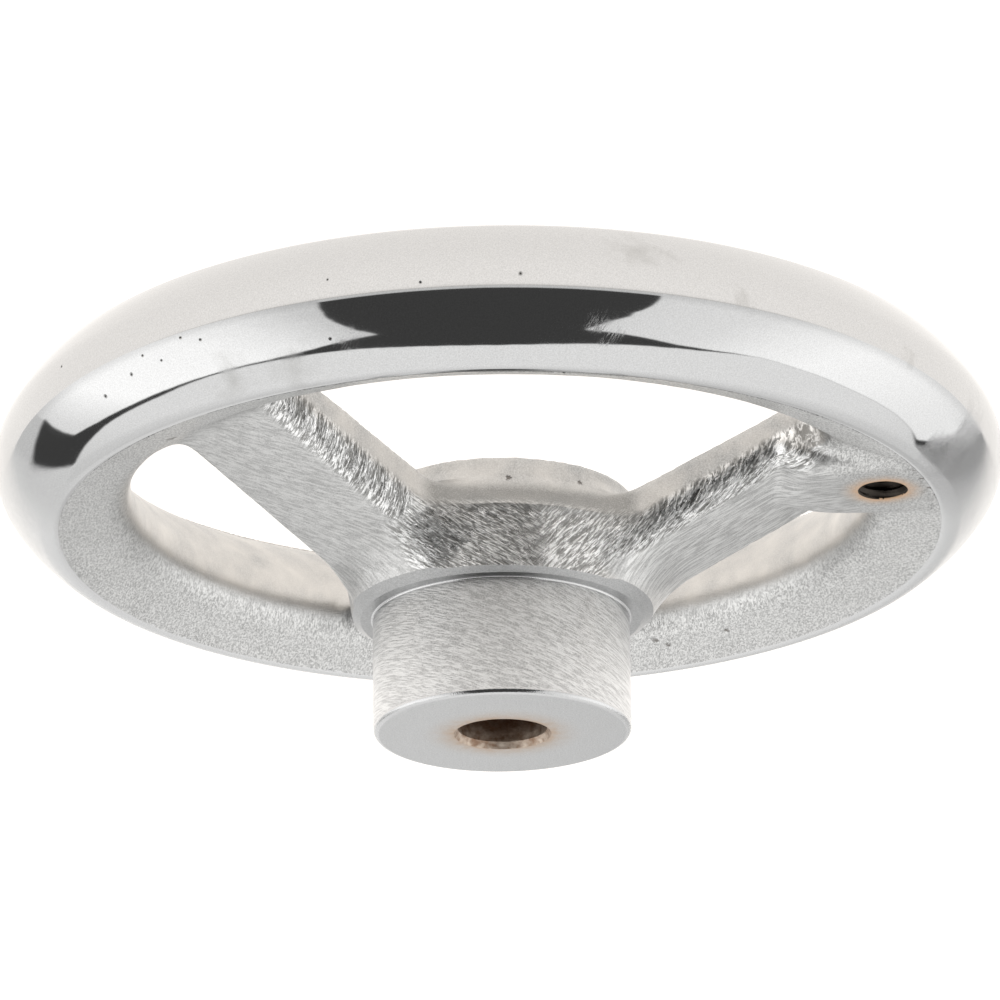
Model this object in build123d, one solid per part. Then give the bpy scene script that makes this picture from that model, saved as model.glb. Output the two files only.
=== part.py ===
from build123d import *
from math import hypot
import os

os.makedirs("parts", exist_ok=True)

# Machine handwheel: one dished, three-spoke grey-iron casting, turned and
# polished on the rim and hub and plated all over. Z runs along the bore with
# the hub end up, and the front of the rim rests on Z = 0. Millimetres.

# Overall sizes
wheel_diameter = 127.0
overall_height = 43.0

# Rim, polished side: radii and headings of the arcs from its front to its crest
front_heading = -16.0
front_r = 3.0
low_flank_heading = 45.0
low_flank_r = 20.0
grip_low_heading = 62.0
grip_r = 6.55
grip_high_heading = 124.0
high_flank_r = 18.45
high_flank_heading = 144.0
crest_r = 2.77
polish_heading = 199.0

# Rim, cast side: insets from the outside of the wheel
slope_inset = 13.7
slope_drop = 2.15
inner_inset = 16.45
inner_drop = 8.9

# Hub: turned boss behind the spokes, as-cast drum in front of them
hub_diameter = 32.1
hub_length = 30.4
turned_length = 15.0
hub_foot_r = 0.4
hub_chamfer = 0.33
ledge_width = 1.75
neck_flare = 2.6
front_neck_inset = 0.6
front_neck_length = 3.4
front_neck_taper = 0.3
parting_height = 7.2
flare_r = 3.0
parting_r = 2.0
drum_edge_r = 0.8

# Bore, countersunk at both ends
bore_diameter = 11.1
bore_sink_width = 0.5
bore_sink_depth = 0.8

# Spokes: arms sloping from the drum down to the rim, crowned across their tops
spoke_count = 3
first_spoke_angle = 197.9
spoke_width = 19.0
spoke_draft = 0.35
root_drop = 3.2
root_thickness = 7.3
tip_drop = 6.5
tip_thickness = 6.0
tip_bury = 1.5
root_overlap = 4.0
tip_overlap = 5.0
ground_edge_r = 2.8
cast_edge_r = 1.4
under_edge_r = 0.9
hub_blend_r = 2.0
rim_blend_r = 2.3

# Pad and tapped hole for the handle, in the first spoke
handle_inset = 14.0
pad_top_r = 8.0
pad_draft = 1.0
pad_drop = 0.7
pad_height = 7.5
pad_blend_r = 1.5
tap_diameter = 5.1
tap_depth = 10.0
tap_sink_width = 0.65
tap_sink_depth = 0.65

rim_radius = wheel_diameter / 2
hub_radius = hub_diameter / 2
hub_front_z = overall_height - hub_length
shoulder_z = overall_height - turned_length
spoke_pitch = 360 / spoke_count


def tangent_arcs(heading, *turns):
    """Arcs in a smooth chain from the origin: each turn is a radius and a heading to reach."""
    point = Vector(0, 0)
    edges = []
    for radius, next_heading in turns:
        along = Vector(1, 0).rotate(Axis.Z, heading)
        edges.append(JernArc(point, along, radius, next_heading - heading).edge())
        point = edges[-1] @ 1
        heading = next_heading
    return edges


def ring_at(solid, radius, z):
    """The circular edge about the bore axis nearest a radius and height."""
    rings = solid.edges().filter_by(GeomType.CIRCLE)
    return rings.sort_by(lambda edge: abs(edge.radius - radius) + abs(edge.arc_center.Z - z))[0]


# Rim, turned about the bore axis and rounded nowhere else than in its section
polished = Wire(
    tangent_arcs(
        front_heading,
        (front_r, low_flank_heading),
        (low_flank_r, grip_low_heading),
        (grip_r, grip_high_heading),
        (high_flank_r, high_flank_heading),
        (crest_r, polish_heading),
    )
)
reach = polished.bounding_box()
polished = Pos(rim_radius - reach.max.X, -reach.min.Y) * polished
rim_height = reach.max.Y - reach.min.Y
slope_end = (rim_radius - slope_inset, rim_height - slope_drop)
inner_end = (rim_radius - inner_inset, rim_height - inner_drop)
slope = Line(polished @ 1, slope_end)
inner = TangentArc(slope_end, inner_end, tangent=slope % 1)
under = TangentArc(inner_end, polished @ 0, tangent=inner % 1)
rim_outline = Wire(polished.edges() + slope.edges() + inner.edges() + under.edges())
rim = revolve(Plane.XZ * make_face(rim_outline), Axis.Z)
rim_inner_r = inner.bounding_box().min.X

# Drum, as cast, widest at the parting line between the two halves of the mould
neck_r = hub_radius + ledge_width
parting_z = hub_front_z + parting_height
flare = (neck_r - front_neck_inset + front_neck_taper, hub_front_z + front_neck_length)
parting = (neck_r + neck_flare, parting_z)
drum_outline = Wire(
    Polyline(
        (0, hub_front_z),
        (neck_r - front_neck_inset, hub_front_z),
        flare,
        parting,
        (neck_r, shoulder_z),
        (0, shoulder_z),
        close=True,
    ).edges()
)
for corner, radius in ((flare, flare_r), (parting, parting_r)):
    nearest = drum_outline.vertices().sort_by_distance(corner)[0]
    drum_outline = drum_outline.fillet_2d(radius, [nearest])
drum = revolve(Plane.XZ * make_face(drum_outline), Axis.Z)
drum = fillet(ring_at(drum, neck_r - front_neck_inset, hub_front_z), drum_edge_r)

# Arms run straight from the root on the neck to the tip inside the rim
root_r = neck_r + 0.2
root_top_z = shoulder_z - root_drop
tip_r = rim_inner_r + tip_bury
tip_top_z = rim_height - tip_drop
spoke_fall = (root_top_z - tip_top_z) / (tip_r - root_r)


def arm_section(at_r, left_r, right_r):
    """Section across an arm: crowned top, two drafted flanks, rounded edges."""
    along = (at_r - root_r) / (tip_r - root_r)
    half = spoke_width / 2
    top_z = root_top_z - (at_r - root_r) * spoke_fall
    edge_z = top_z - (hypot(at_r, half) - at_r) * spoke_fall
    under_z = top_z - root_thickness - along * (tip_thickness - root_thickness)
    crown = ThreePointArc((-half, edge_z), (0, top_z), (half, edge_z))
    flanks = Polyline(
        (half, edge_z),
        (half - spoke_draft, under_z),
        (spoke_draft - half, under_z),
        (-half, edge_z),
    )
    outline = Wire(crown.edges() + flanks.edges())
    for corner, radius in (
        ((half, edge_z), left_r),
        ((-half, edge_z), right_r),
        ((half - spoke_draft, under_z), under_edge_r),
        ((spoke_draft - half, under_z), under_edge_r),
    ):
        nearest = outline.vertices().sort_by_distance(corner)[0]
        outline = outline.fillet_2d(radius, [nearest])
    return Plane.YZ.offset(at_r) * make_face(outline)


def arm(left_r, right_r):
    """One arm, long enough to be buried in the drum and in the rim."""
    ends = (root_r - root_overlap, tip_r + tip_overlap)
    return loft([arm_section(r, left_r, right_r) for r in ends], ruled=True)


def outside(edges, least_r):
    """Edges lying further from the bore axis than least_r."""
    return edges.filter_by(lambda edge: hypot((edge @ 0.5).X, (edge @ 0.5).Y) > least_r)


# The opening between the first two arms is ground round along its top edges
edge_radii = [ground_edge_r] + [cast_edge_r] * (spoke_count - 1)
arms = [
    Rot(0, 0, n * spoke_pitch) * arm(edge_radii[n], edge_radii[n - 1])
    for n in range(spoke_count)
]
body = rim + arms
rim_roots = outside(new_edges(rim, *arms, combined=body), (root_r + tip_r) / 2)
body = fillet(rim_roots, rim_blend_r)
spider = body + drum
hub_roots = outside(new_edges(drum, body, combined=spider), root_r - root_overlap / 2)
body = fillet(hub_roots, hub_blend_r)

# Handle pad, standing up through the slope of the rim at the first arm's tip
handle_r = rim_radius - handle_inset
pad_top_z = rim_height - pad_drop
pad = Cone(pad_top_r + pad_draft, pad_top_r, pad_height)
pad = Pos(handle_r, 0, pad_top_z - pad_height / 2) * pad
raised = body + pad
body = fillet(new_edges(body, pad, combined=raised), pad_blend_r)

# Hub, turned
body += Pos(0, 0, shoulder_z + turned_length / 2) * Cylinder(hub_radius, turned_length)
body = fillet(ring_at(body, hub_radius, shoulder_z), hub_foot_r)
body = chamfer(ring_at(body, hub_radius, overall_height), hub_chamfer)


def sunk_hole(diameter, depth, sink_width, sink_depth):
    """A hole down from Z = 0 with a conical countersink at its mouth."""
    radius = diameter / 2
    sink = Cone(radius, radius + sink_width, sink_depth)
    return Pos(0, 0, -depth / 2) * Cylinder(radius, depth) + Pos(0, 0, -sink_depth / 2) * sink


# Bore through the hub, sunk at both ends
bore = sunk_hole(bore_diameter, hub_length, bore_sink_width, bore_sink_depth)
bore += Rot(180, 0, 0) * bore.moved(Pos(0, 0, hub_length))
body -= Pos(0, 0, overall_height) * bore

# Tapped hole for the handle
tapped = sunk_hole(tap_diameter, tap_depth, tap_sink_width, tap_sink_depth)
body -= Pos(handle_r, 0, pad_top_z) * tapped

body = Rot(0, 0, first_spoke_angle) * body
export_step(body, "parts/handwheel.step")
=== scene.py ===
import math

import bmesh
import bpy
import numpy as np
from mathutils import Matrix, Vector


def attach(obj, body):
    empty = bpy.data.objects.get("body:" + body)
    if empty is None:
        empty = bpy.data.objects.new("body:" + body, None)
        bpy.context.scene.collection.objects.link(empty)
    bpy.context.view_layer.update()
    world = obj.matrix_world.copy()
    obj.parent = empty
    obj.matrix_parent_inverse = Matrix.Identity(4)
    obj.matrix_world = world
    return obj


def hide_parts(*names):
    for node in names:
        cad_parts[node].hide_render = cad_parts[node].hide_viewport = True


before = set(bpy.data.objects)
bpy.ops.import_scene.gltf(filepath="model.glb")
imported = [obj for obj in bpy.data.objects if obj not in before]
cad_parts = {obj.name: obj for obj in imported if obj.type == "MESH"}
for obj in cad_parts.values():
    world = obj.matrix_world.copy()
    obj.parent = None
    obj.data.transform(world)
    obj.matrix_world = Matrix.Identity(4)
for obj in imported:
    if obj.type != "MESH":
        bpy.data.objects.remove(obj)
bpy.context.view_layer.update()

# Sizes are in mm and angles in degrees. Up is along the bore, from the rim's front to the hub's turned end.

# ---------- hub
HEIGHT = 43.0
SHOULDER_Z = 28.0
HUB_FRONT_Z = 12.6
HUB_R = 16.05
HUB_FOOT_R = 0.25
HUB_EDGE_R = 0.7
LEDGE_R = 17.6
LEDGE_END_R = 20.0
LEDGE_FALL = 0.577
BORE_R = 5.55
BORE_SINK = (0.5, 0.8)
DRUM_OUTLINE = (
    (-5.0, HUB_FRONT_Z), (16.6, HUB_FRONT_Z), (17.1, 13.1), (17.45, 15.7), (18.3, 17.6), (19.7, 19.3),
    (19.95, 19.9), (19.75, 20.8), (18.5, 28.0), (18.2, 30.0), (18.2, 44.0), (-5.0, 44.0))

# ---------- rim
RIM_R = 63.5
RIM_HEIGHT = 17.507
FRONT_HEADING = -16.0
# The polished side's arcs, from the front round to the crest: radius, and heading at the end.
POLISHED_TURNS = ((3.0, 45.0), (20.0, 62.0), (6.55, 124.0), (18.45, 144.0), (2.77, 199.0))
SLOPE_END = (49.8, RIM_HEIGHT - 2.15)
INNER_END = (47.05, RIM_HEIGHT - 8.9)
GRIND_STOCK = 0.6
STOCK_HEADING = 160.0
SKIN_LIP = (0.9, 0.75)

# ---------- spokes
SPOKE_AZIMUTHS = (197.9, 317.9, 77.9)
SPOKE_HALF = 9.5
SPOKE_DRAFT = 0.048
DRAFT_DEPTH = 9.0
SPOKE_START = 2.0
SPOKE_END_R = 54.0
STOCK_Z = 29.5
WEB_TOP = (18.0, 25.2)
WEB_FALL = 0.4748
UNDER_TOP = (18.0, 17.9)
UNDER_FALL = 0.43
NECK_R = 18.6
NECK_FALL = 2.356
# Centre, radius and outer end of the arc between the neck and the arm's top.
NECK_ARC = (29.51, 33.02, 12.0, 24.36)
GROUND_EDGE = 3.0
CAST_EDGE = 1.3
UNDER_EDGE = 0.9
# Sizes that change over a run: the size before it, and what each run adds, with its start and end.
HUB_FILLET = (0.6, ((3.4, 27.5, 21.5),))
RIM_FILLET = (1.0, ((3.0, 3.0, 8.0), (-2.8, 14.0, 16.5)))
PAD_RUN = (2.0, ((2.5, -2.0, 4.0),))

# ---------- handle's pad
HANDLE_R = 49.5
PAD_TOP = 17.1
PAD_LEVEL_R = 6.8
PAD_FAR_SHARE = 0.45
PAD_DROP = 0.11
PAD_BLEND = 0.3
TAP_R = 2.55
TAP_DEPTH = 10.0
TAP_PITCH = 1.27
THREAD_DEPTH = 0.6
TAP_SINK = (0.5, 1.1)

# ---------- skin and hand grinding
CELL = 0.65
CASTING_BOX = ((-65.5, -65.5, -2.0), (65.5, 65.5, 45.5))
LONGEST_MOVE = 0.3
# Height, length and draw of each wave in the cast skin.
SKIN_WAVES = ((0.05, 6.0, 1), (0.02, 1.6, 2))
STROKE_TURNS = (math.radians(221.0), math.radians(243.0))
STROKE_LENGTH = 2.4
STROKE_WIDTH = 0.42
STROKE_HEIGHT = 0.07
# Slope and draw of the two ways that strokes slant on the neck, and where one gives way to the other.
NECK_SLANTS = ((-0.6, 5), (0.9, 6))
SLANT_CHANGE = (258.0, 266.0)
NECK_STROKE = (1.6, 0.36, 1.5)
NECK_STROKES = 0.45
NECK_MEAN_R = 20.0
NECK_GROUND_R = (25.5, 22.5)
NECK_GROUND_Z = (18.9, 21.0)
# The ground arms: azimuth, ground side, where the neck's grinding starts, and how the band's edge moves.
GROUND_ARMS = (
    (SPOKE_AZIMUTHS[0], 1, (7.0, 11.0), (0.3, 4.0)),
    (SPOKE_AZIMUTHS[1], -1, (3.0, 6.0), (0.0, 0.0)))
BAND_EDGE = 5.8
BAND_DEPTH = (3.4, 2.6)
BAND_OUT = (46.5, 42.0)


# ---------- section curves
def arc_points(start, heading, radius, turn, step=2.5):
    """Points along an arc that leaves start on a heading and turns left."""
    count = max(2, int(math.ceil(abs(turn) / step)) + 1)
    angles = np.radians(heading + np.linspace(0.0, turn, count))
    leaving = math.radians(heading)
    centre = np.array(start) + radius * np.array([-math.sin(leaving), math.cos(leaving)])
    return centre + radius * np.stack([np.sin(angles), -np.cos(angles)], -1)


def arc_to(start, heading, end):
    """Points along the arc that leaves start on a heading and ends at end, and its last heading."""
    chord = np.subtract(end, start)
    turn = 2 * (math.degrees(math.atan2(chord[1], chord[0])) - heading)
    turn = (turn + 180) % 360 - 180
    radius = math.hypot(*chord) / 2 / math.sin(math.radians(turn / 2))
    return arc_points(start, heading, radius, turn), heading + turn


def polished_arcs():
    """Centre, radius and headings of the arcs on the rim's polished side, front round to crest."""
    point, heading, arcs = np.zeros(2), math.radians(FRONT_HEADING), []
    for radius, reach in POLISHED_TURNS:
        reach = math.radians(reach)
        centre = point + radius * np.array([-math.sin(heading), math.cos(heading)])
        point = centre + radius * np.array([math.sin(reach), -math.cos(reach)])
        arcs.append((centre, radius, heading, reach))
        heading = reach
    widest = max(centre[0] + radius for centre, radius, start, end in arcs if start < math.pi / 2 <= end)
    lowest = min(centre[1] - radius for centre, radius, start, end in arcs if start < 0 <= end)
    return [(centre + [RIM_R - widest, -lowest], radius, start, end) for centre, radius, start, end in arcs]


def polished_curve(miss=0.002):
    """Points along the polished side of the rim's section, within a distance of the true arcs."""
    runs = []
    for centre, radius, start, end in polished_arcs():
        count = int(math.ceil((end - start) / (2 * math.acos(1 - miss / radius)))) + 1
        turn = np.linspace(start, end, count)
        run = centre + radius * np.stack([np.sin(turn), -np.cos(turn)], -1)
        runs.append(run if not runs else run[1:])
    return np.concatenate(runs)


def rim_section():
    """The rim's casting, with grinding stock left on the side that is polished."""
    polished = polished_curve()
    tangent = np.gradient(polished, axis=0)
    outward = np.stack([tangent[:, 1], -tangent[:, 0]], -1)
    outward /= np.linalg.norm(outward, axis=1)[:, None]
    heading = np.unwrap(np.arctan2(tangent[:, 1], tangent[:, 0]))
    stock = (polished + GRIND_STOCK * outward)[heading < math.radians(STOCK_HEADING)]
    crest = polished[-1]
    heading = math.degrees(math.atan2(SLOPE_END[1] - crest[1], SLOPE_END[0] - crest[0]))
    inner, heading = arc_to(SLOPE_END, heading, INNER_END)
    under, _ = arc_to(INNER_END, heading, polished[0])
    return np.concatenate([stock, [crest + SKIN_LIP, crest], inner, under[1:]])


# ---------- distance fields
def section_field(outline, low, high, pitch=0.1):
    """Signed distance to a closed section, tabled over a grid of radius and height."""
    radii = np.arange(low[0], high[0] + pitch, pitch)
    heights = np.arange(low[1], high[1] + pitch, pitch)
    grid_r, grid_z = np.meshgrid(radii, heights, indexing="ij")
    nearest = np.full(grid_r.shape, np.inf)
    inside = np.zeros(grid_r.shape, bool)
    for (r0, z0), (r1, z1) in zip(outline, np.roll(outline, -1, axis=0)):
        dr, dz = r1 - r0, z1 - z0
        along = ((grid_r - r0) * dr + (grid_z - z0) * dz) / max(dr * dr + dz * dz, 1e-12)
        along = np.clip(along, 0, 1)
        gap = (grid_r - r0 - along * dr) ** 2 + (grid_z - z0 - along * dz) ** 2
        nearest = np.minimum(nearest, gap)
        if z0 != z1:
            crosses = (grid_z >= min(z0, z1)) & (grid_z < max(z0, z1))
            inside ^= crosses & (grid_r < r0 + (grid_z - z0) * dr / dz)
    table = np.sqrt(nearest) * np.where(inside, -1.0, 1.0)

    def field(r, z):
        fr = np.clip((r - low[0]) / pitch, 0, len(radii) - 1.001)
        fz = np.clip((z - low[1]) / pitch, 0, len(heights) - 1.001)
        i, j = fr.astype(int), fz.astype(int)
        u, v = fr - i, fz - j
        below = table[i, j] * (1 - u) + table[i + 1, j] * u
        above = table[i, j + 1] * (1 - u) + table[i + 1, j + 1] * u
        return below * (1 - v) + above * v

    return field


def joined(a, b, radius):
    """Union of two fields with a fillet of the given radius between them."""
    u, v = np.maximum(radius - a, 0), np.maximum(radius - b, 0)
    return np.maximum(radius, np.minimum(a, b)) - np.hypot(u, v)


def shared(a, b, radius):
    """Intersection of two fields with its edge rounded to the given radius."""
    u, v = np.maximum(radius + a, 0), np.maximum(radius + b, 0)
    return np.minimum(-radius, np.maximum(a, b)) + np.hypot(u, v)


def ramp(value, low, high):
    """Smooth step from 0 at low to 1 at high."""
    t = np.clip((value - low) / (high - low), 0, 1)
    return t * t * (3 - 2 * t)


def changing(at, size, runs):
    """A size that changes over the given runs."""
    for gain, start, end in runs:
        size = size + gain * ramp(at, start, end)
    return size


def along_arm(x, y, azimuth):
    """Distance out along an arm, and to the left of its middle."""
    c, s = math.cos(math.radians(azimuth)), math.sin(math.radians(azimuth))
    return x * c + y * s, y * c - x * s


TAP_SPOT = tuple(HANDLE_R * turn(math.radians(SPOKE_AZIMUTHS[0])) for turn in (math.cos, math.sin))
rim_field = section_field(rim_section(), (40.0, -4.0), (68.0, 22.0))
drum_field = section_field(np.array(DRUM_OUTLINE), (0.0, 8.0), (28.0, 46.0))


def web_top(r):
    """Height of the cast top of the web over a radius, and its fall there."""
    arc_r, arc_z, arc_radius, arc_end = NECK_ARC
    straight = WEB_TOP[1] - (r - WEB_TOP[0]) * WEB_FALL
    reach = np.clip(arc_r - r, arc_r - arc_end, arc_r - NECK_R)
    drop = np.sqrt(arc_radius ** 2 - reach ** 2)
    neck = SHOULDER_Z + (NECK_R - r) * NECK_FALL
    height = np.where(r > arc_end, straight, np.where(r > NECK_R, arc_z - drop, neck))
    fall = np.where(r > arc_end, WEB_FALL, np.where(r > NECK_R, reach / drop, NECK_FALL))
    return height, fall


def pad_top(x, y):
    """Height of the handle's pad, level round the tapped hole and running out soft towards the hub."""
    inward, aside = x - TAP_SPOT[0], y - TAP_SPOT[1]
    inward = np.maximum(inward - changing(aside, *PAD_RUN), 0)
    away = np.hypot(inward, np.where(aside > 0, aside, PAD_FAR_SHARE * aside))
    return PAD_TOP - PAD_DROP * np.maximum(away - PAD_LEVEL_R, 0) ** 2


def arm_field(x, y, r, z, azimuth, left_edge, right_edge, pad=None):
    """One arm of the casting, with drafted flanks; its top may end in a pad."""
    out, side = along_arm(x, y, azimuth)
    height, fall = web_top(r)
    if pad is not None:
        over = (pad - height) / PAD_BLEND
        height = height + PAD_BLEND * np.logaddexp(0, over)
        fall = fall / (1 + np.exp(np.minimum(over, 50)))
    top = (z - height) / np.sqrt(1 + fall ** 2)
    under = (UNDER_TOP[1] - (r - UNDER_TOP[0]) * UNDER_FALL - z) / math.hypot(1, UNDER_FALL)
    depth = WEB_TOP[1] - (r - WEB_TOP[0]) * WEB_FALL - z
    flank = np.abs(side) - SPOKE_HALF + SPOKE_DRAFT * np.clip(depth, 0, DRAFT_DEPTH)
    arm = shared(top, flank, np.where(side > 0, left_edge, right_edge))
    arm = shared(arm, under, UNDER_EDGE)
    arm = np.maximum(arm, np.maximum(SPOKE_START - out, z - STOCK_Z))
    return np.maximum(arm, r - SPOKE_END_R)


def casting_field(points):
    """Signed distance, near enough, from the whole casting before it is turned."""
    x, y, z = points[..., 0], points[..., 1], points[..., 2]
    r = np.hypot(x, y)
    first, second, third = SPOKE_AZIMUTHS
    arms = arm_field(x, y, r, z, first, GROUND_EDGE, CAST_EDGE, pad_top(x, y))
    arms = np.minimum(arms, arm_field(x, y, r, z, second, CAST_EDGE, GROUND_EDGE))
    arms = np.minimum(arms, arm_field(x, y, r, z, third, CAST_EDGE, CAST_EDGE))
    body = joined(drum_field(r, z), arms, changing(z, *HUB_FILLET))
    return joined(body, rim_field(r, z), changing(z, *RIM_FILLET))


def ground_share(points):
    """How far each point lies in the coarse hand grinding, from 0 to 1."""
    x, y, z = points.T
    r = np.hypot(x, y)
    depth = web_top(r)[0] - z
    neck = ramp(r, *NECK_GROUND_R) * ramp(z, *NECK_GROUND_Z)
    bands = 0.0
    for azimuth, near, root, (widening, root_widening) in GROUND_ARMS:
        out, side = along_arm(x, y, azimuth)
        side = side * near
        neck = neck * ramp(side, *root)
        edge = BAND_EDGE + (widening * np.maximum(out - 36.0, 0) + root_widening * ramp(out, 22.0, 16.0))
        band = ramp(side + np.maximum(depth, 0) - edge, 0.0, 1.2) * ramp(depth, *BAND_DEPTH)
        on_arm = (out > 15) * (side > 0) * (side < 12.5)
        bands = np.maximum(bands, band * ramp(out, *BAND_OUT) * on_arm)
    return np.maximum(neck, bands)


def lumps(across, seed):
    """Smooth random height, from -1 to 1, over coordinates counted in lumps."""
    cell = np.floor(across).astype(np.int64)
    part = across - cell
    part = part * part * (3 - 2 * part)
    total = 0.0
    for corner in range(8):
        offset = np.array([corner & 1, corner >> 1 & 1, corner >> 2 & 1])
        i, j, k = (cell + offset).T
        mixed = (i * 374761393 + j * 668265263 + k * 1103515245 + seed * 144665447) & 0xFFFFFFFF
        mixed = ((mixed ^ (mixed >> 13)) * 1274126177) & 0xFFFFFFFF
        value = ((mixed ^ (mixed >> 16)) & 0xFFFF) / 32767.5 - 1
        total = total + value * np.prod(np.where(offset, part, 1 - part), axis=1)
    return total


def neck_strokes(points, bend):
    """Strokes that slant one way round the neck and then the other."""
    x, y, z = points.T
    azimuth = np.arctan2(y, x) % (2 * math.pi)
    round_neck = azimuth * NECK_MEAN_R
    length, width, depth = NECK_STROKE
    slanted = []
    for slope, seed in NECK_SLANTS:
        run = np.array([1.0, slope]) / math.hypot(1.0, slope)
        down = round_neck * run[0] + z * run[1]
        over = z * run[0] - round_neck * run[1]
        laid = [down / length, over / width + 0.6 * bend, np.hypot(x, y) / depth]
        slanted.append(lumps(np.stack(laid, -1), seed))
    turn = ramp(np.degrees(azimuth), *SLANT_CHANGE)
    return slanted[0] * turn + slanted[1] * (1 - turn)


def grinding_strokes(points):
    """Depth of the grinding strokes at each point, from -1 to 1."""
    share = ground_share(points)
    ground = share > 0.01
    p = points[ground]
    x, y, z = p.T
    turn = np.where(x < 0, *STROKE_TURNS)
    c, s = np.cos(turn), np.sin(turn)
    along, aside = x * c + y * s, y * c - x * s
    bend = 0.5 * lumps(p / 2.5, 3)
    laid = np.stack([along / STROKE_LENGTH, aside / STROKE_WIDTH + bend, z / STROKE_LENGTH], -1)
    at_neck = ramp(np.hypot(x, y), 25.5, 23.5)
    strokes = lumps(laid, 4) * (1 - at_neck) + NECK_STROKES * neck_strokes(p, bend) * at_neck
    depth = np.zeros(len(points))
    depth[ground] = share[ground] * strokes
    return depth


def unevenness(points):
    """Height of the rough casting over its true form: slow waves, skin and grinding strokes."""
    skin = sum(height * lumps(points / length, seed) for height, length, seed in SKIN_WAVES)
    return skin + STROKE_HEIGHT * grinding_strokes(points)


def rough_field(points):
    return casting_field(points) - unevenness(points)


def field_slope(points, field=casting_field, reach=0.02):
    """Unit gradient of a field."""
    slope = np.empty_like(points)
    for axis in range(3):
        step = np.zeros(3)
        step[axis] = reach
        slope[:, axis] = field(points + step) - field(points - step)
    return slope / np.maximum(np.linalg.norm(slope, axis=1)[:, None], 1e-9)


# ---------- meshes
def net_surface(field, low, high, cell):
    """Closed quad net over the zero surface of a field, one vertex to a cell."""
    axes = [np.arange(a, b + cell, cell) for a, b in zip(low, high)]
    shape = tuple(len(a) for a in axes)
    values = np.empty(shape, np.float32)
    for i, x in enumerate(axes[0]):
        y, z = np.meshgrid(axes[1], axes[2], indexing="ij")
        values[i] = field(np.stack([np.full_like(y, x), y, z], -1))
    inside = values < 0
    count = np.zeros(tuple(n - 1 for n in shape), np.int8)
    corners = [(i, j, k) for i in (0, 1) for j in (0, 1) for k in (0, 1)]
    for i, j, k in corners:
        count += inside[i:shape[0] - 1 + i, j:shape[1] - 1 + j, k:shape[2] - 1 + k]
    cells = np.argwhere((count > 0) & (count < 8))
    index = np.full(count.shape, -1, np.int64)
    index[tuple(cells.T)] = np.arange(len(cells))
    middles = crossing_middles(values, cells, corners)
    points = middles * cell + np.array([a[0] for a in axes])
    return points, np.concatenate([crossed_quads(inside, index, axis) for axis in range(3)])


def crossing_middles(values, cells, corners):
    """Mean of the places where each cell's edges cross the zero surface."""
    total, hits = np.zeros((len(cells), 3)), np.zeros(len(cells))
    for a in corners:
        for axis in range(3):
            if a[axis]:
                continue
            b = tuple(1 if n == axis else a[n] for n in range(3))
            va = values[tuple((cells + a).T)].astype(float)
            vb = values[tuple((cells + b).T)].astype(float)
            crossed = (va < 0) != (vb < 0)
            share = np.where(crossed, va / np.where(crossed, va - vb, 1), 0)
            spot = cells + np.array(a, float)
            spot[:, axis] += share
            total += np.where(crossed[:, None], spot, 0)
            hits += crossed
    return total / hits[:, None]


def crossed_quads(inside, index, axis):
    """One quad round each grid edge along an axis that crosses the surface, facing out."""
    one, two = [n for n in range(3) if n != axis]
    ahead = [slice(1, n - 1) for n in inside.shape]
    ahead[axis] = slice(1, inside.shape[axis])
    behind = list(ahead)
    behind[axis] = slice(0, inside.shape[axis] - 1)
    lo, hi = inside[tuple(behind)], inside[tuple(ahead)]
    at = np.argwhere(lo != hi) + [0 if n == axis else 1 for n in range(3)]
    ring = []
    for back_one, back_two in ((1, 1), (0, 1), (0, 0), (1, 0)):
        spot = at.copy()
        spot[:, one] -= back_one
        spot[:, two] -= back_two
        ring.append(index[tuple(spot.T)])
    ring = np.stack(ring, 1)
    leaving = lo[lo != hi]
    flip = leaving if axis != 1 else ~leaving
    ring[~flip] = ring[~flip][:, ::-1]
    return ring


def settled(points, field, rounds):
    """Moves points onto the zero surface of a field, along the casting's slope."""
    for _ in range(rounds):
        move = np.clip(field(points), -LONGEST_MOVE, LONGEST_MOVE)
        points = points - field_slope(points) * move[:, None]
    return points


def evened(points, quads, rounds=3, share=0.6):
    """Spreads the net's vertices evenly over the casting's surface."""
    edges = np.concatenate([quads[:, [0, 1]], quads[:, [1, 2]], quads[:, [2, 3]], quads[:, [3, 0]]])
    degree = np.bincount(edges.ravel(), minlength=len(points))[:, None]
    for _ in range(rounds):
        total = np.zeros_like(points)
        np.add.at(total, edges[:, 0], points[edges[:, 1]])
        np.add.at(total, edges[:, 1], points[edges[:, 0]])
        points = settled(points + share * (total / degree - points), casting_field, 2)
    return points


def with_fine_zones(points, quads):
    """Cuts the faces smaller where the grinding strokes lie, then roughens the whole skin."""
    fine = bmesh.new()
    made = [fine.verts.new(p) for p in points]
    for quad in quads:
        fine.faces.new([made[i] for i in quad])
    wanted = ground_share(points) > 0.12
    fine.verts.index_update()
    edges = [e for e in fine.edges if wanted[e.verts[0].index] and wanted[e.verts[1].index]]
    bmesh.ops.subdivide_edges(fine, edges=edges, cuts=2, use_grid_fill=True)
    fine.verts.index_update()
    points = np.array([v.co for v in fine.verts], float)
    faces = [[v.index for v in face.verts] for face in fine.faces]
    fine.free()
    return settled(points, rough_field, 3), faces


def placed(name, points, faces):
    """An object made of points in mm and faces, linked into the scene."""
    mesh = bpy.data.meshes.new(name)
    mesh.from_pydata((np.asarray(points) * 0.001).tolist(), [], [list(map(int, f)) for f in faces])
    mesh.validate()
    piece = bpy.data.objects.new(name, mesh)
    bpy.context.scene.collection.objects.link(piece)
    return piece


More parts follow.
